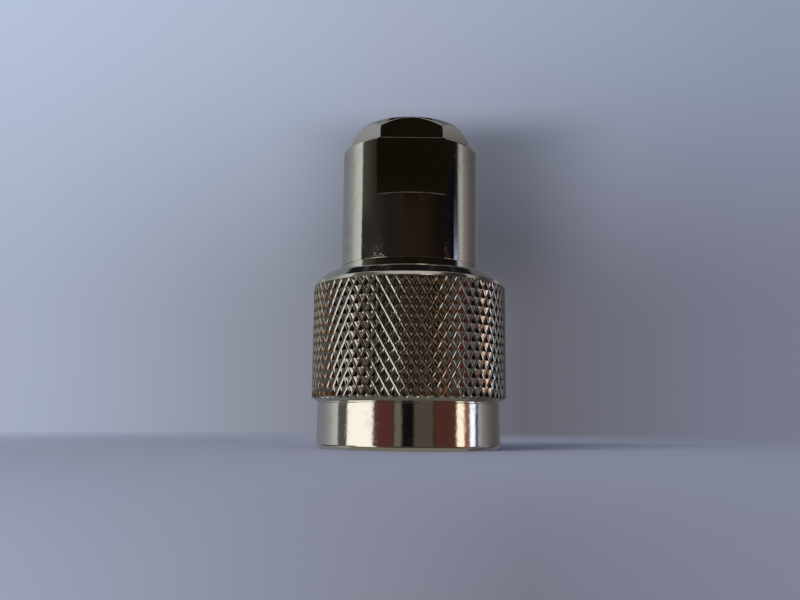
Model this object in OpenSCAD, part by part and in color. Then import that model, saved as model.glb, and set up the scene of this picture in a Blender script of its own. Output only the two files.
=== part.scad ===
// Straight N type plug with a knurled coupling nut and a clamped cable entry.
// It stands on the mouth of its nut. Z runs up the axis, from the mating mouth to the cable end.
// Sizes are millimetres, and every section is drawn as [radius, height] and turned about the axis.

/* [Coupling nut] */
// Diameter over the crests of the diamond knurl
knurl_d = 20.3; // [19.6:0.1:22]
// Depth of the hollows between the knurl's ridges
knurl_depth = 0.4; // [0.2:0.01:0.5]
// Length of the knurled stretch
knurl_len = 12; // [9:0.1:14]
// Bevel at the knurl's front end
knurl_bevel = 0.5; // [0.2:0.05:0.8]
// Hollows round the nut
knurl_starts = 64; // [48:1:72]
// Rows of half hollows along the nut
knurl_rows = 13; // [10:1:18]
// Diameter of the plain band at the mouth
band_d = 19.1; // [18.6:0.1:19.3]
// Length of the plain band
band_len = 4.6; // [3:0.1:6]
// Bevel on the band's front edge
band_bevel = 0.3; // [0.1:0.05:0.5]
// Width of the turned groove at each end of the knurl
knurl_relief_w = 0.1; // [0.05:0.01:0.3]
// Depth of that groove below the band
knurl_relief_depth = 0.08; // [0.04:0.01:0.2]
// Diameter of the plain rim behind the knurl
rim_d = 20; // [19.4:0.1:20.3]
// Width of the plain rim
rim_w = 0.2; // [0.05:0.05:0.6]
// Bevel behind the rim, at 45 degrees
rim_bevel = 0.9; // [0.4:0.1:1.2]
// Crest diameter of the 5/8-24 thread inside the nut
thread_d = 14.75; // [14.7:0.01:15]
// Bevel at the mouth of that thread
thread_bevel = 0.6; // [0.3:0.1:0.8]
// Diameter of the groove at the inner end of the thread
runout_d = 16.1; // [15.9:0.1:16.6]
// Length of thread that ends short of the gasket's seat
runout_len = 1; // [0.6:0.1:1.4]
// Diameter of the groove for the retaining ring
ring_groove_d = 16.1; // [15.9:0.1:16.8]

/* [Mating face] */
// How far a jack goes into the nut, down to the gasket
mating_depth = 8.8; // [8:0.1:10]
// Outer diameter of the outer contact's fingers
finger_d = 8.1; // [7.9:0.05:8.3]
// Bore of the outer contact
contact_bore_d = 7; // [6.8:0.05:7.2]
// How far the fingers' ends lie inside the mouth
finger_setback = 1.2; // [0.6:0.1:2]
// Slots between the fingers
finger_slots = 4; // [3:1:8]
// Width of each slot
slot_w = 0.45; // [0.3:0.05:0.7]
// Length of each slot
slot_len = 5.5; // [3:0.5:7]
// Diameter of the collar that is pressed into the body
collar_d = 9.6; // [9.2:0.1:10]
// How far that collar stands out of the body, inside the gasket
collar_rise = 0.8; // [0.4:0.1:1.2]
// Length of the collar inside the body
collar_len = 6; // [4:0.5:8]
// Diameter of the centre pin
pin_d = 1.65; // [1.6:0.01:1.7]
// How far the pin's tip lies inside the mouth
pin_setback = 1.5; // [1:0.1:2.5]
// Length of the pin's taper
pin_taper = 0.9; // [0.5:0.1:1.5]
// Diameter of the blunt tip
pin_tip_d = 0.6; // [0.3:0.1:0.9]
// Length of the pin, tip to shoulder
pin_len = 4.8; // [4:0.1:5.6]
// Diameter of the conductor behind the shoulder
conductor_d = 3.04; // [2.8:0.02:3.2]
// Thickness of the front gasket
gasket_t = 1.5; // [1.2:0.1:2]
// Outer diameter of the front gasket
gasket_d = 13.6; // [12.6:0.1:14]

/* [Body] */
// Diameter of the barrel
body_d = 14.5; // [14:0.1:14.6]
// Length of the barrel, from the gasket's seat to its rear face
body_len = 21.2; // [20:0.1:24]
// Bevel on the barrel's rear edge
body_bevel = 0.2; // [0.1:0.05:0.4]
// Distance across the two wrench flats
flats_af = 12.7; // [12.2:0.1:13.4]
// Length of the flats, from the rear face
flats_len = 6; // [4:0.1:7]
// Diameter of the seat for the insulators
insulator_seat_d = 7.8; // [7.4:0.1:8.4]
// Length of that seat
insulator_seat_len = 3.7; // [3:0.1:4.5]
// Diameter of the rear chamber, which is threaded for the clamp nut
chamber_d = 9.5; // [9.2:0.1:9.9]

/* [Retaining ring] */
// Inner diameter of the split ring
ring_id = 13.1; // [12.8:0.1:13.4]
// Outer diameter of the split ring
ring_od = 15.6; // [15.2:0.1:15.7]
// Thickness of the split ring
ring_t = 1; // [0.7:0.05:1.2]
// Gap between the ends of the split ring
ring_gap = 2; // [1:0.5:4]
// Distance from the gasket's seat to the ring
ring_setback = 2.9; // [2:0.1:4]

/* [Insulators and solder tail] */
// How far the front insulator lies inside the mouth
insulator_setback = 8.6; // [7:0.1:10]
// Thickness of the front insulator's flange
insulator_flange_t = 0.9; // [0.6:0.1:1.2]
// Diameter of the conductor's flange, which the insulators hold
tail_flange_d = 4.4; // [3.8:0.1:5]
// Thickness of the conductor's flange
tail_flange_t = 0.6; // [0.4:0.05:0.8]
// Diameter of the solder tail
tail_d = 2.3; // [1.9:0.1:2.7]
// Length of the solder tail behind its flange
tail_len = 2.4; // [1.5:0.1:2.8]
// Diameter of the solder hole
solder_hole_d = 1; // [0.8:0.05:1.3]
// Depth of the solder hole
solder_hole_len = 2; // [1:0.1:2.4]

/* [Cable clamp] */
// Bore for the cable through every clamp piece
cable_bore_d = 5.4; // [5:0.1:5.8]
// Thickness of the braid clamp's flange
braid_flange_t = 1.2; // [0.8:0.1:1.8]
// Height of the ridge that the gasket is pressed onto
ridge_h = 0.8; // [0.4:0.1:1.2]
// Width of that ridge
ridge_w = 1.2; // [0.8:0.1:1.6]
// Thickness of the cable gasket
cable_gasket_t = 4.4; // [3:0.1:5]
// Thickness of the pressure washer
washer_t = 0.6; // [0.4:0.1:1]
// Distance across the clamp nut's hexagon
hex_af = 11.1; // [10.6:0.1:11.6]
// Height of the hexagon above the barrel
hex_h = 2.5; // [2:0.1:4]
// Diameter of the chamfer on the hexagon's rear face
hex_face_d = 10.9; // [10.2:0.1:11.2]
// Bevel at the mouth of the cable bore
cable_bevel = 0.4; // [0.2:0.1:0.8]

/* [Clearances] */
// Radial clearance of the coupling nut on the barrel
nut_clearance = 0.08; // [0.04:0.01:0.1]
// Radial clearance of the clamp nut in its chamber
clamp_clearance = 0.05; // [0.03:0.01:0.1]
// Gap between the clamp nut's hexagon and the barrel
hex_gap = 0.05; // [0.03:0.01:0.1]
// Radial clearance of parts that are laid in and stay still
fit_clearance = 0.02; // [0.01:0.01:0.05]
// Radial clearance of the soft gaskets
gasket_clearance = 0.1; // [0.05:0.01:0.2]
// Axial play of the retaining ring in each groove
ring_play = 0.1; // [0.05:0.01:0.2]

/* [Hidden] */
$fn = 96;
// Overshoot that lets a cut pass clean through a face
cut = 1;

// Heights up the axis
seat_z = mating_depth + gasket_t;
knurl_z = band_len + knurl_relief_w;
rim_z = knurl_z + knurl_len + knurl_relief_w;
rim_top_z = rim_z + rim_w;
nut_top_z = rim_top_z + rim_bevel;
runout_z = seat_z - runout_len;
ring_z = seat_z + ring_setback;
ring_top_z = ring_z + ring_t;
web_z = seat_z + collar_len;
chamber_z = web_z + insulator_seat_len;
body_top_z = seat_z + body_len;
flats_z = body_top_z - flats_len;
collar_z = seat_z - collar_rise;
flange_top_z = web_z + insulator_flange_t;
ridge_z = chamber_z + braid_flange_t;
washer_z = ridge_z + cable_gasket_t;
shank_z = washer_z + washer_t;
hex_z = body_top_z + hex_gap;
hex_top_z = hex_z + hex_h;

// Radii
knurl_crest_r = knurl_d / 2;
knurl_root_r = knurl_crest_r - knurl_depth;
band_r = band_d / 2;
core_r = band_r - knurl_relief_depth;
knurl_bond = 0.25;
thread_r = thread_d / 2;
body_r = body_d / 2;
nut_bore_r = body_r + nut_clearance;
ring_seat_r = ring_id / 2 - fit_clearance;
chamber_r = chamber_d / 2;
clamp_r = chamber_r - gasket_clearance;
shank_r = chamber_r - clamp_clearance;
cable_r = cable_bore_d / 2;
ridge_r = (clamp_r + cable_r) / 2;
insulator_r = insulator_seat_d / 2 - fit_clearance;
contact_bore_r = contact_bore_d / 2;
conductor_r = conductor_d / 2;

// One point of the knurl, at an angle and height on a ring of a given radius.
function ring_point(r, a, z) = [r * cos(a), r * sin(a), z];

// Diamond knurl: a net of points round the nut whose crests and hollows alternate like a
// chessboard, so that two sets of helical ridges cross and leave four-sided hollows between them.
// The first ring lies flush with the band, which bevels the front ends of the ridges.
module diamond_knurl() {
    cols = 2 * knurl_starts;
    step = 360 / cols;
    row_h = (knurl_len - knurl_bevel) / knurl_rows;
    bond_r = core_r - knurl_bond;
    front = [for (col = [0 : cols - 1]) ring_point(band_r, col * step, 0)];
    net = [for (row = [0 : knurl_rows], col = [0 : cols - 1])
        ring_point((row + col) % 2 == 0 ? knurl_crest_r : knurl_root_r, col * step, knurl_bevel + row * row_h)];
    back = [for (z = [0, knurl_len], col = [0 : cols - 1]) ring_point(bond_r, col * step, z)];
    low = len(front) + len(net);
    high = low + cols;
    last = len(net);
    walls = [for (row = [0 : knurl_rows], col = [0 : cols - 1])
        let (next = (col + 1) % cols, a = row * cols + col, b = row * cols + next, c = b + cols, d = a + cols)
        each (row + col) % 2 == 1 ? [[a, c, b], [a, d, c]] : [[a, d, b], [b, d, c]]];
    ends = [for (col = [0 : cols - 1])
        let (next = (col + 1) % cols)
        each [[col, next, low + next, low + col],
              [last + col, high + col, high + next, last + next],
              [low + col, low + next, high + next, high + col]]];
    polyhedron(concat(front, net, back), concat(walls, ends));
}

// Coupling nut: turned from bar, threaded inside, grooved for the ring that holds it on the body.
module coupling_nut() {
    color("silver") union() {
        rotate_extrude() polygon([
            [thread_r + thread_bevel, 0],
            [band_r - band_bevel, 0],
            [band_r, band_bevel],
            [band_r, band_len],
            [core_r, band_len],
            [core_r, rim_z],
            [rim_d / 2, rim_z],
            [rim_d / 2, rim_top_z],
            [rim_d / 2 - rim_bevel, nut_top_z],
            [nut_bore_r, nut_top_z],
            [nut_bore_r, ring_top_z + ring_play],
            [ring_groove_d / 2, ring_top_z + ring_play],
            [ring_groove_d / 2, ring_z - ring_play],
            [nut_bore_r, ring_z - ring_play],
            [nut_bore_r, seat_z + ring_play],
            [runout_d / 2, seat_z + ring_play],
            [runout_d / 2, runout_z],
            [thread_r, runout_z],
            [thread_r, thread_bevel]]);
        translate([0, 0, knurl_z]) diamond_knurl();
    }
}

// Retaining ring: a split spring ring, half in the body's groove and half in the nut's.
module retaining_ring() {
    color("goldenrod") difference() {
        translate([0, 0, ring_z]) cylinder(h = ring_t, d = ring_od);
        translate([0, 0, ring_z - cut]) cylinder(h = ring_t + 2 * cut, d = ring_id);
        translate([0, -ring_gap / 2, ring_z - cut]) cube([ring_od, ring_gap, ring_t + 2 * cut]);
    }
}

// Body: a turned barrel with a bore in three steps and two wrench flats milled at its rear.
module body() {
    color("lightgray") difference() {
        rotate_extrude() polygon([
            [collar_d / 2, seat_z],
            [body_r, seat_z],
            [body_r, ring_z - ring_play],
            [ring_seat_r, ring_z - ring_play],
            [ring_seat_r, ring_top_z],
            [body_r, ring_top_z],
            [body_r, body_top_z - body_bevel],
            [body_r - body_bevel, body_top_z],
            [chamber_r, body_top_z],
            [chamber_r, chamber_z],
            [insulator_seat_d / 2, chamber_z],
            [insulator_seat_d / 2, web_z],
            [collar_d / 2, web_z]]);
        for (side = [0, 180])
            rotate([0, 0, side])
                translate([-body_r, -body_r - cut, flats_z])
                    cube([body_d, body_r + cut - flats_af / 2, flats_len + cut]);
    }
}

// Outer contact: a spring sleeve slotted into fingers, pressed into the body by its collar.
module outer_contact() {
    color("gainsboro") difference() {
        rotate_extrude() polygon([
            [contact_bore_r, finger_setback],
            [finger_d / 2, finger_setback],
            [finger_d / 2, collar_z],
            [collar_d / 2 - fit_clearance, collar_z],
            [collar_d / 2 - fit_clearance, web_z],
            [contact_bore_r, web_z]]);
        for (i = [0 : finger_slots - 1])
            rotate([0, 0, (i + 0.5) * 360 / finger_slots])
                translate([0, -slot_w / 2, finger_setback - cut])
                    cube([finger_d, slot_w, slot_len + cut]);
    }
}

// Front gasket: a flat silicone ring on the body's front face, round the contact's collar.
module front_gasket() {
    color("orangered") difference() {
        translate([0, 0, mating_depth]) cylinder(h = gasket_t, d = gasket_d);
        translate([0, 0, mating_depth - cut])
            cylinder(h = gasket_t + 2 * cut, d = collar_d + 2 * gasket_clearance);
    }
}

// Contact pin: the pin, its thicker conductor, a flange that is trapped, and a drilled solder tail.
module contact_pin() {
    shoulder_z = pin_setback + pin_len;
    flange_z = flange_top_z - tail_flange_t;
    tail_top_z = flange_top_z + tail_len;
    color("gold") difference() {
        rotate_extrude() polygon([
            [0, pin_setback],
            [pin_tip_d / 2, pin_setback],
            [pin_d / 2, pin_setback + pin_taper],
            [pin_d / 2, shoulder_z],
            [conductor_r, shoulder_z],
            [conductor_r, flange_z],
            [tail_flange_d / 2, flange_z],
            [tail_flange_d / 2, flange_top_z],
            [tail_d / 2, flange_top_z],
            [tail_d / 2, tail_top_z],
            [0, tail_top_z]]);
        translate([0, 0, tail_top_z - solder_hole_len])
            cylinder(h = solder_hole_len + cut, d = solder_hole_d);
    }
}

// Front insulator: a stepped bead that fills the outer contact and carries the pin's flange.
module front_insulator() {
    flange_z = flange_top_z - tail_flange_t;
    color("white") rotate_extrude() polygon([
        [conductor_r + fit_clearance, insulator_setback],
        [contact_bore_r - fit_clearance, insulator_setback],
        [contact_bore_r - fit_clearance, web_z],
        [insulator_r, web_z],
        [insulator_r, flange_top_z],
        [tail_flange_d / 2 + fit_clearance, flange_top_z],
        [tail_flange_d / 2 + fit_clearance, flange_z],
        [conductor_r + fit_clearance, flange_z]]);
}

// Rear insulator: a bead round the solder tail, which closes the seat behind the flange.
module rear_insulator() {
    color("whitesmoke") difference() {
        translate([0, 0, flange_top_z]) cylinder(h = chamber_z - flange_top_z, r = insulator_r);
        translate([0, 0, flange_top_z - cut])
            cylinder(h = chamber_z - flange_top_z + 2 * cut, d = tail_d + 2 * fit_clearance);
    }
}

// Braid clamp: a brass ring that holds the cable's braid, with a ridge towards the gasket.
module braid_clamp() {
    color("tan") rotate_extrude() polygon([
        [cable_r, chamber_z],
        [clamp_r, chamber_z],
        [clamp_r, ridge_z],
        [ridge_r + ridge_w / 2, ridge_z],
        [ridge_r, ridge_z + ridge_h],
        [ridge_r - ridge_w / 2, ridge_z],
        [cable_r, ridge_z]]);
}

// Cable gasket: a rubber sleeve with a groove that sits on the braid clamp's ridge.
module cable_gasket() {
    color("dimgray") rotate_extrude() polygon([
        [cable_r, ridge_z],
        [ridge_r - ridge_w / 2, ridge_z],
        [ridge_r, ridge_z + ridge_h],
        [ridge_r + ridge_w / 2, ridge_z],
        [clamp_r, ridge_z],
        [clamp_r, washer_z],
        [cable_r, washer_z]]);
}

// Pressure washer: a flat ring between the rubber and the clamp nut.
module pressure_washer() {
    color("silver") difference() {
        translate([0, 0, washer_z]) cylinder(h = washer_t, r = clamp_r);
        translate([0, 0, washer_z - cut]) cylinder(h = washer_t + 2 * cut, r = cable_r);
    }
}

// Clamp nut: a hexagon with a turned rear chamfer on a threaded shank, bored for the cable.
module clamp_nut() {
    hex_corner_r = hex_af / 2 / cos(30);
    chamfer_drop = hex_corner_r - hex_face_d / 2;
    color("silver") difference() {
        union() {
            translate([0, 0, shank_z]) cylinder(h = hex_z - shank_z, r = shank_r);
            intersection() {
                translate([0, 0, hex_z]) cylinder(h = hex_h, r = hex_corner_r, $fn = 6);
                rotate_extrude() polygon([
                    [0, hex_z],
                    [hex_corner_r + cut, hex_z],
                    [hex_corner_r + cut, hex_top_z - chamfer_drop - cut],
                    [hex_face_d / 2, hex_top_z],
                    [0, hex_top_z]]);
            }
        }
        translate([0, 0, shank_z - cut]) cylinder(h = hex_top_z - shank_z + 2 * cut, r = cable_r);
        translate([0, 0, hex_top_z - cable_bevel])
            cylinder(h = cable_bevel + cut, r1 = cable_r, r2 = cable_r + cable_bevel + cut);
    }
}

coupling_nut();
retaining_ring();
body();
outer_contact();
front_gasket();
contact_pin();
front_insulator();
rear_insulator();
braid_clamp();
cable_gasket();
pressure_washer();
clamp_nut();
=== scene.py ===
import math

import bmesh
import bpy
from mathutils import Matrix, Vector


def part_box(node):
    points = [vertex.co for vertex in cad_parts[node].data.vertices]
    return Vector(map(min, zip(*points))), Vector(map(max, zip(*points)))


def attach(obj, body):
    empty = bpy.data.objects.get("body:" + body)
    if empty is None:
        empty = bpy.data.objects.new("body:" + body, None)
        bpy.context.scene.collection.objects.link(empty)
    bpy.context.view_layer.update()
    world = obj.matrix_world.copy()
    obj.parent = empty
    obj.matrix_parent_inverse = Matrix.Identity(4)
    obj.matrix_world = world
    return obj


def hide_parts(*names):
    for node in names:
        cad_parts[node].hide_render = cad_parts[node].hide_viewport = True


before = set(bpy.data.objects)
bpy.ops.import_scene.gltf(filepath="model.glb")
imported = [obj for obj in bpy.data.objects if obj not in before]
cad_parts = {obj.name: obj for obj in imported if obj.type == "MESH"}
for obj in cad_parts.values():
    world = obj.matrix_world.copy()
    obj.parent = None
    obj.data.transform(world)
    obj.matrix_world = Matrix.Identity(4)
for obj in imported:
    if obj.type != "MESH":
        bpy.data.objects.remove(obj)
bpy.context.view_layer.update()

# Barrel
# The plug's body: brass bar turned to one diameter, bored in steps from both ends and milled with two
# wrench flats at its rear. It is plated bright nickel, so turning lines and handling marks show.
MM = 0.001
TURN = 2 * math.pi
LATHE_STEPS = 192
ROUND_STEPS = 4
SUPPORT = 0.06
LONG_EDGE = 6 * SUPPORT
CREASE = math.radians(24)
MERGE = 0.0005
ON_PLANE = 1e-5

barrel_low, barrel_high = (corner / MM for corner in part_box("body"))
barrel_r = barrel_high.x
barrel_seat, barrel_top = barrel_low.z, barrel_high.z
seat_edge, barrel_edge = 0.1, 0.2
ring_groove_low, ring_groove_high, ring_groove_r = 13.1, 14.2, 6.53
relief_low, relief_high, relief_depth = 18.1, 18.95, 0.062
collar_r, collar_end = 4.8, 16.3
insulator_r, insulator_end, insulator_edge = 3.9, 20.0, 0.1
chamber_r, chamber_edge = 4.75, 0.12
flat_y, flat_low, flat_edge = 6.35, 25.5, 0.05
past_flat = flat_y + 1e-4
ledge_lip, ledge_drop, ledge_inset = 0.012, 0.1, 0.018
ledge_wear, ledge_wear_pitch = 0.35, 2.9


def turned(outline):
    """A closed section of (radius, height, edge round) corners, turned about Z.

    A long stretch gets a short edge beside each of its corners, which keeps its shading straight.
    """
    mesh = bmesh.new()
    corners = [mesh.verts.new((radius, 0, height)) for radius, height, _ in outline]
    mesh.faces.new(corners)
    for corner, (_, _, edge) in zip(corners, outline):
        if edge:
            bmesh.ops.bevel(mesh, geom=[corner], offset=edge, offset_type="OFFSET", segments=ROUND_STEPS,
                            profile=0.5, affect="VERTICES", material=-1)
    bmesh.ops.delete(mesh, geom=mesh.faces[:], context="FACES_ONLY")
    for end in (0, 1):
        for edge in list(mesh.edges):
            length = edge.calc_length()
            if length > LONG_EDGE:
                bmesh.utils.edge_split(edge, edge.verts[end], SUPPORT / length)
    bmesh.ops.spin(mesh, geom=mesh.verts[:] + mesh.edges[:], cent=(0, 0, 0), axis=(0, 0, 1),
                   angle=TURN, steps=LATHE_STEPS, use_merge=True)
    return mesh


def closed(mesh):
    """Merges doubled points and turns every face outwards."""
    bmesh.ops.remove_doubles(mesh, verts=mesh.verts, dist=MERGE)
    bmesh.ops.recalc_face_normals(mesh, faces=mesh.faces)
    return mesh


def cut_at(mesh, place, normal, faces=None):
    """Cuts faces along a plane without taking anything away."""
    faces = faces or mesh.faces[:]
    edges = {edge for face in faces for edge in face.edges}
    verts = {vert for face in faces for vert in face.verts}
    bmesh.ops.bisect_plane(mesh, geom=[*faces, *edges, *verts], dist=ON_PLANE, plane_co=place,
                           plane_no=normal)


def piece(name, mesh, body, finish, slot, *nodes, crease=CREASE):
    """Makes a finished mesh in millimetres a piece of the object, which rides on a body."""
    bmesh.ops.scale(mesh, vec=(MM, MM, MM), verts=mesh.verts)
    data = bpy.data.meshes.new(name)
    mesh.to_mesh(data)
    mesh.free()
    data.shade_smooth()
    data.set_sharp_from_angle(angle=crease)
    data.materials.append(finish)
    made = bpy.data.objects.new(name, data)
    bpy.context.scene.collection.objects.link(made)
    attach(made, body)
    if nodes:
        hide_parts(*nodes)


class Shade:
    """A shader socket. Arithmetic on it adds Math nodes, and make adds any other node."""

    def __init__(self, tree, socket=None):
        self.tree = tree
        self.socket = socket

    def make(self, kind, settings=None, inputs=None, output=0):
        node = self.tree.nodes.new("ShaderNode" + kind)
        for name, value in (settings or {}).items():
            if name == "stops":
                ramp = node.color_ramp.elements
                while len(ramp) < len(value):
                    ramp.new(1)
                for stop, (place, colour) in zip(ramp, value):
                    stop.position, stop.color = place, colour
            else:
                setattr(node, name, value)
        for name, value in (inputs or {}).items():
            if isinstance(value, Shade):
                self.tree.links.new(value.socket, node.inputs[name])
            else:
                node.inputs[name].default_value = value
        return Shade(self.tree, node.outputs[output] if node.outputs else None)

    def math(self, operation, first, second=0.0):
        return self.make("Math", {"operation": operation}, {0: first, 1: second})

    def __add__(self, other):
        return self.math("ADD", self, other)

    def __sub__(self, other):
        return self.math("SUBTRACT", self, other)

    def __rsub__(self, other):
        return self.math("SUBTRACT", other, self)

    def __mul__(self, other):
        return self.math("MULTIPLY", self, other)

    def __truediv__(self, other):
        return self.math("DIVIDE", self, other)

    __radd__ = __add__
    __rmul__ = __mul__

    def rise(self, low, high):
        """A soft step from 0 at low to 1 at high."""
        return self.make("MapRange", {"interpolation_type": "SMOOTHSTEP"},
                         {"Value": self, "From Min": low, "From Max": high})

    def blend(self, first, second):
        """Two colours mixed by this value."""
        return self.make("Mix", {"data_type": "RGBA"}, {0: self, 6: first, 7: second}, output=2)


def blank_finish(name):
    """A new material without nodes, and a Shade that builds them."""
    made = bpy.data.materials.new(name)
    made.use_nodes = True
    made.node_tree.nodes.clear()
    return made, Shade(made.node_tree)


def show(shade, surface, kind="OutputMaterial"):
    """Ends the nodes of a material or a world in their output."""
    shade.make(kind, None, {"Surface": surface})


def surfaced(shade, colour, rough, height, metallic):
    """Ends a finish in its surface, with a fine relief given in millimetres."""
    bump = shade.make("Bump", None, {"Strength": 1.0, "Distance": MM, "Height": height})
    show(shade, shade.make("BsdfPrincipled", None, {
        "Base Color": colour, "Metallic": metallic, "Roughness": rough, "Normal": bump}))


def rgb(red, green, blue):
    return (red, green, blue, 1.0)


def place_of(shade):
    """Object coordinates in millimetres."""
    point = shade.make("TexCoord", None, None, output="Object")
    return shade.make("VectorMath", {"operation": "SCALE"}, {0: point, "Scale": 1 / MM})


def axes_of(point):
    """The x, y and z of a point."""
    return [point.make("SeparateXYZ", None, {0: point}, output=axis) for axis in "XYZ"]


def off_axis(x, y):
    """How far a point lies from the plug's axis."""
    return x.math("SQRT", x * x + y * y)


def noise(point, scale, detail, roughness=0.5):
    """Soft blotches from 0 to 1."""
    return point.make("TexNoise", None, {
        "Vector": point, "Scale": scale, "Detail": detail, "Roughness": roughness})


def turning_lines(along, pitch, roughness=0.5):
    """Uneven fine lines across one direction, as a lathe tool leaves them."""
    return along.make("TexNoise", {"noise_dimensions": "1D"}, {
        "W": along / pitch, "Scale": 1.0, "Detail": 3.0, "Roughness": roughness})


def turned_nickel(name, line_pitch, dull, soil, uneven):
    """Bright nickel on turned brass, with fine lines, a slight waviness, dull blotches and small dents."""
    clean, stained = rgb(0.68, 0.645, 0.59), rgb(0.42, 0.37, 0.30)
    line_height, dent_depth = 0.0006, 0.005
    wave_stretch = (1.0, 1.0, 2.6)
    made, shade = blank_finish(name)
    point = place_of(shade)
    x, y, z = axes_of(point)
    lines = turning_lines(z + off_axis(x, y), line_pitch, roughness=0.7)
    drawn = shade.make("VectorMath", {"operation": "MULTIPLY"}, {0: point, 1: wave_stretch})
    wave = noise(drawn, scale=1.1, detail=3.0, roughness=0.55)
    chatter = noise(point, scale=2.4, detail=2.0)
    cloud = noise(point, scale=0.55, detail=4.0, roughness=0.6)
    dents = noise(point, scale=4.2, detail=2.0)
    dented = dents.rise(0.63, 0.73) * cloud.rise(0.46, 0.6)
    stain = cloud.rise(0.52, 0.72) * 0.6 + dented * 0.4
    colour = (stain * soil).blend(clean, stained)
    rough = dull + cloud.rise(0.4, 0.8) * 0.04 + lines.rise(0.45, 0.8) * 0.03
    height = lines * line_height + (wave + chatter) * uneven - dented * (soil * dent_depth)
    surfaced(shade, colour, rough, height, metallic=1.0)
    return made


barrel_nickel = turned_nickel("barrel_nickel", line_pitch=0.11, dull=0.05, soil=0.5, uneven=0.0028)
barrel_mesh = closed(turned([
    (collar_r, barrel_seat, seat_edge),
    (barrel_r, barrel_seat, seat_edge),
    (barrel_r, ring_groove_low, 0),
    (ring_groove_r, ring_groove_low, 0),
    (ring_groove_r, ring_groove_high, 0),
    (barrel_r, ring_groove_high, 0),
    (barrel_r, relief_low, 0),
    (barrel_r - relief_depth, relief_high, 0),
    (barrel_r, relief_high, 0),
    (barrel_r, barrel_top, barrel_edge),
    (chamber_r, barrel_top, chamber_edge),
    (chamber_r, insulator_end, 0),
    (insulator_r, insulator_end, insulator_edge),
    (insulator_r, collar_end, 0),
    (collar_r, collar_end, 0)]))
ledge_heights = (flat_low - ledge_drop - SUPPORT / 2, flat_low - ledge_drop, flat_low, flat_low + ledge_lip)
flat_top_heights = (barrel_top - flat_edge - SUPPORT / 2, barrel_top - flat_edge)
for height in ledge_heights + flat_top_heights:
    cut_at(barrel_mesh, (0, 0, height), (0, 0, 1))
for side in (-1, 1):
    cut_at(barrel_mesh, (0, side * flat_y, 0), (0, side, 0),
           [face for face in barrel_mesh.faces if face.calc_center_median().z > flat_low - ledge_drop])
for vert in barrel_mesh.verts:
    beyond = abs(vert.co.y) > past_flat
    if beyond and vert.co.z > flat_low + ledge_lip / 2:
        over = min(flat_edge, max(0, vert.co.z - (barrel_top - flat_edge)))
        vert.co.y = math.copysign(flat_y - flat_edge + math.sqrt(flat_edge ** 2 - over ** 2), vert.co.y)
    elif beyond and vert.co.z > flat_low - ledge_drop / 2:
        worn = 1 - ledge_wear * (1 - math.cos(TURN * vert.co.x / ledge_wear_pitch)) / 2
        vert.co.xy = vert.co.xy.normalized() * (barrel_r - ledge_inset * worn)
bmesh.ops.dissolve_degenerate(barrel_mesh, dist=MERGE, edges=barrel_mesh.edges)
piece("barrel", closed(barrel_mesh), "plug", barrel_nickel, "nickel_body", "body")

# Coupling nut
# Brass bar turned with a plain band at the mouth and a bevelled rim behind the knurl, grooved inside
# for the ring that holds it on the barrel, then threaded and plated bright nickel.
_, nut_high = (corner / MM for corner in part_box("coupling_nut"))
nut_top = nut_high.z
mouth_edge = 0.05
band_r, band_top, band_top_edge = 9.55, 4.6, 0.05
band_bevel, band_edge = 0.34, 0.08
core_r = 9.47
knurl_low, knurl_end = 4.7, 16.6
rim_r, rim_foot_edge = 10.15, 0.02
rim_slope_r, rim_top, rim_edge = 9.96, 17.0, 0.03
bevel_r, bevel_edge = 9.04, 0.25
nut_bore_r, nut_bore_edge = 7.33, 0.1
groove_low, groove_high, groove_r = 13.1, 14.3, 8.05
runout_low, runout_high = 9.3, 10.4
thread_root_r, thread_crest_r, thread_pitch = 7.94, 7.375, 25.4 / 24

nut_nickel = turned_nickel("nut_nickel", line_pitch=0.09, dull=0.085, soil=0.4, uneven=0.0052)
nut_mesh = closed(turned([
    (thread_root_r, 0, mouth_edge),
    (band_r - band_bevel, 0, band_edge),
    (band_r, band_bevel, band_edge),
    (band_r, band_top, band_top_edge),
    (core_r, band_top, 0),
    (core_r, knurl_end, 0),
    (rim_r, knurl_end, rim_foot_edge),
    (rim_slope_r, rim_top, rim_edge),
    (bevel_r, nut_top, bevel_edge),
    (nut_bore_r, nut_top, nut_bore_edge),
    (nut_bore_r, groove_high, 0),
    (groove_r, groove_high, 0),
    (groove_r, groove_low, 0),
    (nut_bore_r, groove_low, 0),
    (nut_bore_r, runout_high, 0),
    (groove_r, runout_high, 0),
    (groove_r, runout_low, 0),
    (thread_root_r, runout_low, 0)]))
piece("nut_turning", nut_mesh, "nut", nut_nickel, "nickel_nut", "coupling_nut")

# Coupling nut's thread
# The 5/8-24 thread that screws onto a jack. It is cut in the nut's bore from just inside the mouth to
# the run-out groove, and plated with the nut.
THREAD_STEPS = LATHE_STEPS / 2
THREAD_SUNK = 0.05

thread_low, thread_high = 0.7, runout_low - 0.5


def thread(root_r, crest_r, pitch, low, high):
    """A helical ridge from a root radius to a crest radius, closed at both ends."""
    mesh = bmesh.new()
    half_foot, half_tip = 0.42 * pitch, 0.08 * pitch
    foot_r = root_r + math.copysign(THREAD_SUNK, root_r - crest_r)
    corners = [(foot_r, -half_foot), (crest_r, -half_tip), (crest_r, half_tip), (foot_r, half_foot)]
    section = mesh.faces.new([mesh.verts.new((radius, 0, low + height)) for radius, height in corners])
    turns = (high - low) / pitch
    steps = int(turns * THREAD_STEPS)
    edges = section.edges[:]
    bmesh.ops.delete(mesh, geom=[section], context="FACES_ONLY")
    bmesh.ops.spin(mesh, geom=mesh.verts[:] + edges, cent=(0, 0, 0), axis=(0, 0, 1),
                   dvec=(0, 0, (high - low) / steps), angle=turns * TURN, steps=steps)
    bmesh.ops.holes_fill(mesh, edges=[edge for edge in mesh.edges if edge.is_boundary], sides=4)
    return closed(mesh)


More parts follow.
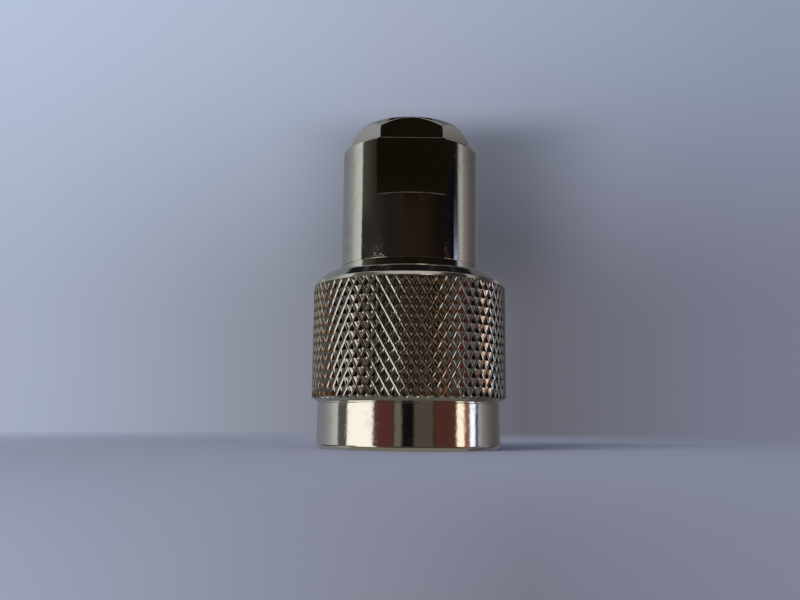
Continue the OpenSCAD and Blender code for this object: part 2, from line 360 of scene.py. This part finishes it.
piece("nut_thread", thread(thread_root_r, thread_crest_r, thread_pitch, thread_low, thread_high),
      "nut", nut_nickel, "nickel_nut")

# Diamond knurl
# Rolled into the nut between the band and the rim: two sets of helical ridges cross and leave
# four-sided hollows between them. The front ends of the ridges are bevelled down to the band.
knurl_starts, knurl_rows = 64, 13
knurl_crest_r, knurl_sunk_r = nut_high.x, 9.3
knurl_foot, knurl_foot_cuts = 0.5, 5
knurl_merge = 0.002
ridge_steps = ((0.015, 0.0015), (0.06, 0.0165), (0.055, 0.0195), (0.012, 0.007))
hollow_steps = ((0.02, 0.024), (0.165, 0.22), (0.05, 0.03))


def everything(mesh):
    return mesh.verts[:] + mesh.edges[:] + mesh.faces[:]


def picked(geom, kind):
    """The parts of one kind out of what an operator made."""
    return [part for part in geom if isinstance(part, kind)]


def knurl_nickel():
    """The nut's nickel, darker in the hollows with soil and painted shade, and with bright worn ridges."""
    bright, soiled_and_shaded = rgb(0.52, 0.495, 0.455), rgb(0.32, 0.28, 0.23)
    hollow_r, worn_r = knurl_crest_r - 0.3, knurl_crest_r - 0.03
    ridge_grain, hollow_grain, wave_height = 0.005, 0.012, 0.02
    made, shade = blank_finish("knurl_nickel")
    point = place_of(shade)
    x, y, _ = axes_of(point)
    grain = noise(point, scale=3.0, detail=3.0, roughness=0.6)
    wave = noise(point, scale=0.9, detail=2.0)
    deep = 1 - off_axis(x, y).rise(hollow_r, worn_r)
    # Darker in the hollows: partly soil, partly painted shade.
    colour = (deep * (0.1 + grain.rise(0.45, 0.75) * 0.5)).blend(bright, soiled_and_shaded)
    rough = 0.06 + deep * 0.05 + grain.rise(0.4, 0.8) * 0.04
    height = grain * (ridge_grain + deep * hollow_grain) + wave * wave_height
    surfaced(shade, colour, rough, height, metallic=1.0)
    return made


half_step = TURN / knurl_starts / 2
row_height = (knurl_end - knurl_low - knurl_foot) / knurl_rows
knurl_mesh = bmesh.new()
cell = knurl_mesh.faces.new([
    knurl_mesh.verts.new((knurl_crest_r * math.cos(angle), knurl_crest_r * math.sin(angle), height))
    for angle, height in ((-half_step, 0), (0, -row_height), (half_step, 0), (0, row_height))])
for width, depth in ridge_steps + hollow_steps:
    bmesh.ops.inset_individual(knurl_mesh, faces=[cell], thickness=width, depth=-depth,
                               use_even_offset=True)
bmesh.ops.spin(knurl_mesh, geom=everything(knurl_mesh), cent=(0, 0, 0), axis=(0, 0, 1),
               angle=TURN * (1 - 1 / knurl_starts), steps=knurl_starts - 1, use_duplicate=True)
bmesh.ops.translate(knurl_mesh, vec=(0, 0, knurl_low + knurl_foot - row_height), verts=knurl_mesh.verts)
ring_of_cells = everything(knurl_mesh)
for row in range(1, knurl_rows + 2):
    copied = picked(bmesh.ops.duplicate(knurl_mesh, geom=ring_of_cells)["geom"], bmesh.types.BMVert)
    bmesh.ops.rotate(knurl_mesh, cent=(0, 0, 0), matrix=Matrix.Rotation(row % 2 * half_step, 3, "Z"),
                     verts=copied)
    bmesh.ops.translate(knurl_mesh, vec=(0, 0, row * row_height), verts=copied)
bmesh.ops.remove_doubles(knurl_mesh, verts=knurl_mesh.verts, dist=knurl_merge)
for step in range(1, knurl_foot_cuts + 1):
    cut_at(knurl_mesh, (0, 0, knurl_low + knurl_foot * step / knurl_foot_cuts), (0, 0, 1))
for height, way in ((knurl_low, -1), (knurl_end, 1)):
    bmesh.ops.bisect_plane(knurl_mesh, geom=everything(knurl_mesh), dist=ON_PLANE,
                           plane_co=(0, 0, height), plane_no=(0, 0, way), clear_outer=True)
bevel_slope = (knurl_crest_r - band_r) / knurl_foot
for vert in knurl_mesh.verts:
    bevel_at = band_r + (vert.co.z - knurl_low) * bevel_slope
    if vert.co.xy.length > bevel_at:
        vert.co.xy = vert.co.xy.normalized() * bevel_at
rims = [edge for edge in knurl_mesh.edges if edge.is_boundary]
for vert in picked(bmesh.ops.extrude_edge_only(knurl_mesh, edges=rims)["geom"], bmesh.types.BMVert):
    vert.co.xy = vert.co.xy.normalized() * knurl_sunk_r
bmesh.ops.bridge_loops(knurl_mesh, edges=[edge for edge in knurl_mesh.edges if edge.is_boundary])
piece("nut_knurl", closed(knurl_mesh), "nut", knurl_nickel(), "nickel_nut")

# Clamp nut
# A hexagon milled on turned bar with a chamfer on its rear face, bored for the cable. Its threaded
# shank screws into the barrel and presses the washer onto the rubber that grips the cable.
HARD_CREASE = math.radians(18)

clamp_low, clamp_high = (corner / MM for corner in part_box("clamp_nut"))
hex_half, hex_gap = clamp_high.y, 0.05
hex_top, hex_low = clamp_high.z, barrel_top + hex_gap
hex_face_r, hex_cuts = 5.45, 15
hex_edge, shortest_edged = 0.05, 0.02
cable_r, cable_edge = 2.7, 0.4
shank_low, shank_r, shank_root_r = clamp_low.z, 4.7, 4.36
shank_pitch = 25.4 / 32
shank_thread_low, shank_thread_high = shank_low + 0.4, hex_low - 0.5


def next_ring(mesh, ring, moved):
    """Extrudes a ring of edges and puts each new point where moved says."""
    out = bmesh.ops.extrude_edge_only(mesh, edges=ring)["geom"]
    for vert in picked(out, bmesh.types.BMVert):
        vert.co = moved(vert.co)
    return picked(out, bmesh.types.BMEdge)


def to_circle(radius, height):
    return lambda co: (*(co.xy.normalized() * radius), height)


clamp_nickel = turned_nickel("clamp_nickel", line_pitch=0.13, dull=0.06, soil=0.25, uneven=0.0015)
clamp_mesh = bmesh.new()
bmesh.ops.create_circle(clamp_mesh, segments=6, radius=hex_half / math.cos(TURN / 12),
                        matrix=Matrix.Translation((0, 0, hex_low)) @ Matrix.Rotation(TURN / 12, 4, "Z"))
bmesh.ops.subdivide_edges(clamp_mesh, edges=clamp_mesh.edges[:], cuts=hex_cuts)
hex_foot = clamp_mesh.edges[:]
ring = next_ring(clamp_mesh, hex_foot, lambda co: (co.x, co.y, hex_top - (co.xy.length - hex_face_r)))
for radius, height in (
        (hex_face_r, hex_top),
        (cable_r + cable_edge, hex_top),
        (cable_r, hex_top - cable_edge),
        (cable_r, shank_low),
        (shank_root_r, shank_low),
        (shank_root_r, hex_low)):
    ring = next_ring(clamp_mesh, ring, to_circle(radius, height))
bmesh.ops.bridge_loops(clamp_mesh, edges=ring + hex_foot)
closed(clamp_mesh)
sharp = [edge for edge in clamp_mesh.edges
         if edge.is_manifold and edge.calc_face_angle() > CREASE and edge.calc_length() > shortest_edged]
bmesh.ops.bevel(clamp_mesh, geom=sharp, offset=hex_edge, offset_type="OFFSET", segments=1, profile=0.5,
                affect="EDGES", clamp_overlap=True, material=-1)
piece("clamp_hexagon", closed(clamp_mesh), "clamp", clamp_nickel, "nickel_body", "clamp_nut",
      crease=HARD_CREASE)
piece("clamp_thread", thread(shank_root_r, shank_r, shank_pitch, shank_thread_low, shank_thread_high),
      "clamp", clamp_nickel, "nickel_body")


# Mating contacts
# The slotted spring sleeve and the centre pin, both turned from brass. The sleeve is pressed into the
# barrel and plated plain nickel, and the pin is held by the insulators and plated gold.
def plain_metal(name, colour, worn, dull):
    """A plated or bare turned metal with fine lines and a darker tone where it is stained."""
    line_pitch, line_height = 0.08, 0.002
    made, shade = blank_finish(name)
    point = place_of(shade)
    _, _, z = axes_of(point)
    lines = turning_lines(z, line_pitch)
    cloud = noise(point, scale=0.9, detail=4.0)
    rough = dull + cloud.rise(0.4, 0.75) * 0.1 + lines.rise(0.4, 0.8) * 0.08
    surfaced(shade, cloud.rise(0.45, 0.75).blend(colour, worn), rough, lines * line_height, metallic=1.0)
    return made


def dress(node, finish):
    """Gives a solid that keeps its own mesh a finish."""
    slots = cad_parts[node].data.materials
    slots.clear()
    slots.append(finish)


dress("outer_contact", plain_metal("contact_nickel", rgb(0.70, 0.67, 0.61), rgb(0.5, 0.46, 0.4), dull=0.2))
dress("contact_pin", plain_metal("pin_gold", rgb(0.86, 0.63, 0.26), rgb(0.66, 0.45, 0.17), dull=0.16))

# Ring and clamp metal
# The split ring that holds the nut is bare spring bronze. The braid clamp and the pressure washer are
# turned brass with a thin plate, and the clamp nut keeps them in the barrel.
dress("retaining_ring",
      plain_metal("spring_bronze", rgb(0.62, 0.43, 0.22), rgb(0.36, 0.23, 0.11), dull=0.28))
dress("braid_clamp",
      plain_metal("clamp_brass", rgb(0.66, 0.62, 0.53), rgb(0.48, 0.40, 0.27), dull=0.25))
dress("pressure_washer",
      plain_metal("washer_nickel", rgb(0.64, 0.61, 0.56), rgb(0.42, 0.38, 0.32), dull=0.22))


# Insulators and rubber
# White fluoroplastic beads turned from rod carry the pin. The front gasket is moulded silicone, and the
# sleeve that grips the cable is moulded rubber.
def soft_finish(name, light, dark, dull, grain_size, grain_height):
    """A matt moulded or turned plastic: fine grain, cloudy colour and a little bloom."""
    made, shade = blank_finish(name)
    point = place_of(shade)
    grain = noise(point, scale=1 / grain_size, detail=4.0)
    cloud = noise(point, scale=0.7, detail=3.0)
    colour = (cloud.rise(0.35, 0.7) * 0.7 + grain.rise(0.5, 0.7) * 0.3).blend(light, dark)
    rough = dull + grain.rise(0.4, 0.7) * 0.12
    surfaced(shade, colour, rough, grain * grain_height, metallic=0.0)
    return made


fluoroplastic = soft_finish("fluoroplastic", rgb(0.86, 0.86, 0.83), rgb(0.78, 0.77, 0.73),
                            dull=0.42, grain_size=0.12, grain_height=0.004)
silicone = soft_finish("silicone", rgb(0.62, 0.12, 0.05), rgb(0.50, 0.08, 0.035),
                       dull=0.55, grain_size=0.15, grain_height=0.006)
rubber = soft_finish("rubber", rgb(0.035, 0.035, 0.034), rgb(0.055, 0.053, 0.05),
                     dull=0.6, grain_size=0.12, grain_height=0.008)
for bead in ("front_insulator", "rear_insulator"):
    dress(bead, fluoroplastic)
dress("front_gasket", silicone)
dress("cable_gasket", rubber)

# Floor
# A plain pale floor of matt paper under the plug. It thins out with distance, so that it passes into
# the backdrop, and the metal doesn't mirror it.
floor_half, floor_fade_in, floor_fade_out = 0.6, 0.015, 0.12
floor_colour = rgb(0.24, 0.247, 0.295)


def set_out(name, mesh, finish):
    """Makes a mesh in metres an object in the scene, with one finish."""
    data = bpy.data.meshes.new(name)
    mesh.to_mesh(data)
    mesh.free()
    data.materials.append(finish)
    made = bpy.data.objects.new(name, data)
    bpy.context.scene.collection.objects.link(made)
    return made


paper, shade = blank_finish("floor_paper")
x, y, _ = axes_of(place_of(shade))
fading = off_axis(x, y).rise(floor_fade_in / MM, floor_fade_out / MM)
matt = shade.make("BsdfDiffuse", None, {"Color": floor_colour})
clear = shade.make("BsdfTransparent")
show(shade, shade.make("MixShader", None, {0: fading, 1: matt, 2: clear}))
floor_mesh = bmesh.new()
bmesh.ops.create_grid(floor_mesh, x_segments=1, y_segments=1, size=floor_half)
floor = set_out("floor", floor_mesh, paper)
floor.visible_glossy = False

# Backdrop
# A pale surround with painted light, lighter towards the left and the top, and a painted shadow at the
# right of the plug, where its soft shadow would fall.
# The dark stop at 0.58 in the lower tones is part of the painted shadow.
low_stops = (
    (0.0, rgb(0.58, 0.62, 0.73)), (0.3, rgb(0.37, 0.41, 0.53)), (0.43, rgb(0.25, 0.27, 0.325)),
    (0.58, rgb(0.13, 0.128, 0.157)), (0.7, rgb(0.18, 0.185, 0.25)), (1.0, rgb(0.26, 0.28, 0.35)))
high_stops = (
    (0.0, rgb(0.62, 0.68, 0.82)), (0.3, rgb(0.47, 0.55, 0.72)), (0.5, rgb(0.38, 0.42, 0.54)),
    (0.7, rgb(0.28, 0.325, 0.435)), (1.0, rgb(0.30, 0.33, 0.42)))
high_from = (0.1, 0.5)
shadow_colour, shadow_depth = rgb(0.0, 0.0, 0.0), 0.52
shadow_left, shadow_right = (0.42, 0.53), (0.55, 0.64)
shadow_foot, shadow_head = (0.1, 0.22), (0.325, 0.37)
world = bpy.data.worlds.new("surround")
world.use_nodes = True
world.node_tree.nodes.clear()
bpy.context.scene.world = world
shade = Shade(world.node_tree)
x, _, upward = axes_of(shade.make("TexCoord", None, None, output="Generated"))
across = x * 0.5 + 0.5
low_tone = shade.make("ValToRGB", {"stops": low_stops}, {0: across})
high_tone = shade.make("ValToRGB", {"stops": high_stops}, {0: across})
lit = upward.rise(*high_from).blend(low_tone, high_tone)
# The painted shadow: a darker patch of the surround at the right of the plug.
shadow_width = across.rise(*shadow_left) - across.rise(*shadow_right)
shadow_height = upward.rise(*shadow_foot) - upward.rise(*shadow_head)
shaded = (shadow_width * shadow_height * shadow_depth).blend(lit, shadow_colour)
show(shade, shade.make("Background", None, {"Color": shaded, "Strength": 1.0}), "OutputWorld")

# Mirrored studio
# What the polished metal mirrors, seen by mirror rays only: a dark room in front, pale walls behind and
# soft panels. Angles are in degrees at the plug, sideways from the front, right positive, and upwards.
studio_r, studio_segments, studio_rings = 0.6, 64, 32
panel_soft_side, panel_soft_end = 1.0, 1.6
unlit, dim = (0.010, 0.009, 0.009), (0.085, 0.07, 0.06)
walls = (
    (-180, (0.17, 0.19, 0.22)), (-142, (0.21, 0.235, 0.27)), (-127, (0.255, 0.28, 0.30)),
    (-116, (0.34, 0.365, 0.375)), (-104, (0.56, 0.59, 0.59)), (-95, (0.64, 0.68, 0.67)),
    (-90, (0.64, 0.67, 0.65)), (-87.5, (0.075, 0.074, 0.063)), (-77, (0.062, 0.06, 0.05)),
    (-69, (0.042, 0.04, 0.032)), (-61, (0.03, 0.027, 0.022)), (-40, (0.017, 0.014, 0.012)),
    (-17, (0.022, 0.015, 0.012)), (20, (0.022, 0.012, 0.007)), (47, (0.008, 0.006, 0.0045)),
    (66, (0.006, 0.006, 0.008)), (76, (0.002, 0.0035, 0.009)), (85, (0.02, 0.02, 0.02)),
    (89, (0.40, 0.40, 0.40)), (95, (0.46, 0.46, 0.46)), (101, (0.28, 0.275, 0.28)),
    (110, (0.19, 0.18, 0.185)), (120, (0.125, 0.115, 0.12)), (135, (0.10, 0.092, 0.10)),
    (180, (0.17, 0.19, 0.22)),
)
# Each panel is left, right, low, high and colour, and lies over those before it.
panels = (
    # In front, above the plug: dark for the relief, the flat and the hexagon, lighter for slopes facing up
    (-60, 80, 19.6, 25.5, (0.009, 0.007, 0.005)),
    (-10, 14, 17.4, 26, (0.008, 0.0056, 0.0023)),
    (-60, 60, 26, 31, (0.06, 0.052, 0.045)),
    (-92, 90, 31, 41, (0.28, 0.265, 0.235)),
    (-62, 62, 31, 41, (0.11, 0.10, 0.085)),
    (-92, 44, 41, 60, (0.12, 0.11, 0.10)),
    (-14, 15, 41, 60, (0.17, 0.155, 0.145)),
    (44, 92, 41, 60, (0.03, 0.03, 0.03)),
    (15, 33, 38, 58, (1.45, 1.2, 1.08)),
    # At both sides: for the hexagon's slanted faces and the left of the barrel
    (84, 125, 22.5, 41, (0.05, 0.05, 0.055)),
    (113, 150, 22.6, 28, (0.29, 0.29, 0.3)),
    (-150, -113, 22.6, 28, (0.36, 0.39, 0.42)),
    (-89, -62, 11, 16.5, (0.028, 0.03, 0.025)),
    # The ceiling: a light over the front for the nut's shoulder, unlit elsewhere for the bevel behind it
    (-92, 90, 58.5, 66.5, (0.56, 0.555, 0.53)),
    (-200, 200, 70, 100, unlit),
    (-200, -122, 60, 100, unlit),
    (122, 200, 60, 100, unlit),
    (-149, -122, 47, 60, unlit),
    (122, 149, 47, 60, unlit),
    # Just below the plug's level: dim with three lights, for the knurl's slopes that face down
    (-140, 140, -27, -4, dim),
    (-68, -40, -22, -4, (1.35, 1.35, 1.28)),
    (66, 80, -22, -4, (0.5, 0.2, 0.09)),
    (97, 118, -22, -4, (0.25, 0.28, 0.40)),
    # Just above it: bright at the left, warm and cool at the right, for the knurl's lands and the barrel
    (-140, -68, 4, 10.4, (0.13, 0.13, 0.12)),
    (-68, -42, 4, 10.4, (1.4, 1.4, 1.32)),
    (-42, 57, 4, 10.4, dim),
    (57, 140, 4, 8, (0.06, 0.055, 0.06)),
    (58, 69, 8, 11.4, (0.7, 0.3, 0.13)),
    (77.5, 86, 8, 17, (0.07, 0.075, 0.1)),
    (77.5, 86, 8, 14.6, (0.16, 0.18, 0.26)),
    (78.5, 86, 8, 13.2, (0.5, 0.6, 0.95)),
    # Level with it: for the upright stripes on the band, from left to right
    (-96.5, -85, -4, 4, (0.1, 0.1, 0.09)),
    (-80.8, -44.5, -4, 4, (1.4, 1.4, 1.3)),
    (-43, -20, -4, 4, (0.115, 0.034, 0.03)),
    (-18, -9.5, -4, 4, (0.17, 0.165, 0.125)),
    (-8.5, 4.5, -4, 4, (0.003, 0.004, 0.005)),
    (5.5, 28.5, -4, 4, (0.095, 0.085, 0.07)),
    (30, 57, -4, 4, (0.1, 0.034, 0.026)),
    (59, 70, -4, 4, (1.55, 1.42, 1.15)),
    (70, 77, -4, 4, (0.33, 0.12, 0.07)),
    (78.2, 87, -4, 4, (1.5, 1.6, 1.9)),
    (87.3, 92.3, -4, 4, (0.05, 0.075, 0.2)),
    # Far below: yellow, red and dark for the knurl's hollows, and pale under the plug
    (-68, -36, -48, -24, (0.18, 0.09, 0.013)),
    (-36, -22, -48, -24, (0.155, 0.028, 0.02)),
    (-22, 95, -48, -27, (0.007, 0.007, 0.009)),
    (-200, 200, -100, -48, (0.215, 0.215, 0.185)),
)


def between(angle, low, high, soft):
    """1 from low to high and 0 outside, with soft borders."""
    return angle.rise(low - soft, low + soft) - angle.rise(high - soft, high + soft)


studio_walls, shade = blank_finish("studio_walls")
point = place_of(shade)
x, y, z = axes_of(point)
far = shade.make("VectorMath", {"operation": "LENGTH"}, {0: point}, output="Value")
aside = shade.math("ARCTAN2", x, y * -1) * (360 / TURN)
above = shade.math("ARCSINE", z / far) * (360 / TURN)
light = shade.make("ValToRGB", {"stops": [(angle / 360 + 0.5, rgb(*colour)) for angle, colour in walls]},
                   {0: aside / 360 + 0.5})
for left, right, low, high, colour in panels:
    panel = between(aside, left, right, panel_soft_side) * between(above, low, high, panel_soft_end)
    light = panel.blend(light, rgb(*colour))
show(shade, shade.make("Emission", None, {"Color": light, "Strength": 1.0}))
studio_mesh = bmesh.new()
bmesh.ops.create_uvsphere(studio_mesh, u_segments=studio_segments, v_segments=studio_rings, radius=studio_r)
studio = set_out("studio", studio_mesh, studio_walls)
studio.visible_camera = studio.visible_diffuse = studio.visible_shadow = studio.visible_transmission = False

# Lamps
# One large soft lamp at the upper left and a weak one at the right. They light the floor and the plain
# pieces, and the metal doesn't mirror them.
lamps = (
    ("key", (-0.28, -0.22, 0.30), 0.25, 1.75),
    ("fill", (0.30, -0.25, 0.18), 0.3, 0.4),
)
lamp_aim = Vector((0, 0, 0.015))
for name, place, size, power in lamps:
    lamp_data = bpy.data.lights.new(name, "AREA")
    lamp_data.size = size
    lamp_data.energy = power
    lamp = bpy.data.objects.new(name, lamp_data)
    lamp.location = place
    lamp.rotation_euler = (lamp_aim - lamp.location).to_track_quat("-Z", "Y").to_euler()
    lamp.visible_glossy = False
    bpy.context.scene.collection.objects.link(lamp)

# Camera
# It stands near the height of the mouth and looks square at the axis, tipped up a little, with the
# photograph's framing.
camera_place = Vector((-1.836, -86.46, 2.986))
camera_tilt, camera_swing, camera_roll = 8.3, -0.556, 0.498
camera_data = bpy.data.cameras.new("camera")
camera_data.lens = 36.75
camera_data.sensor_width = 36
camera_data.clip_start = 0.005
camera_data.clip_end = 10
camera = bpy.data.objects.new("camera", camera_data)
bpy.context.scene.collection.objects.link(camera)
camera.matrix_world = (Matrix.Translation(camera_place * MM)
                       @ Matrix.Rotation(math.radians(camera_swing), 4, "Z")
                       @ Matrix.Rotation(math.radians(90 + camera_tilt), 4, "X")
                       @ Matrix.Rotation(math.radians(camera_roll), 4, "Z"))
bpy.context.scene.camera = camera
bpy.context.scene.view_settings.view_transform = "Standard"
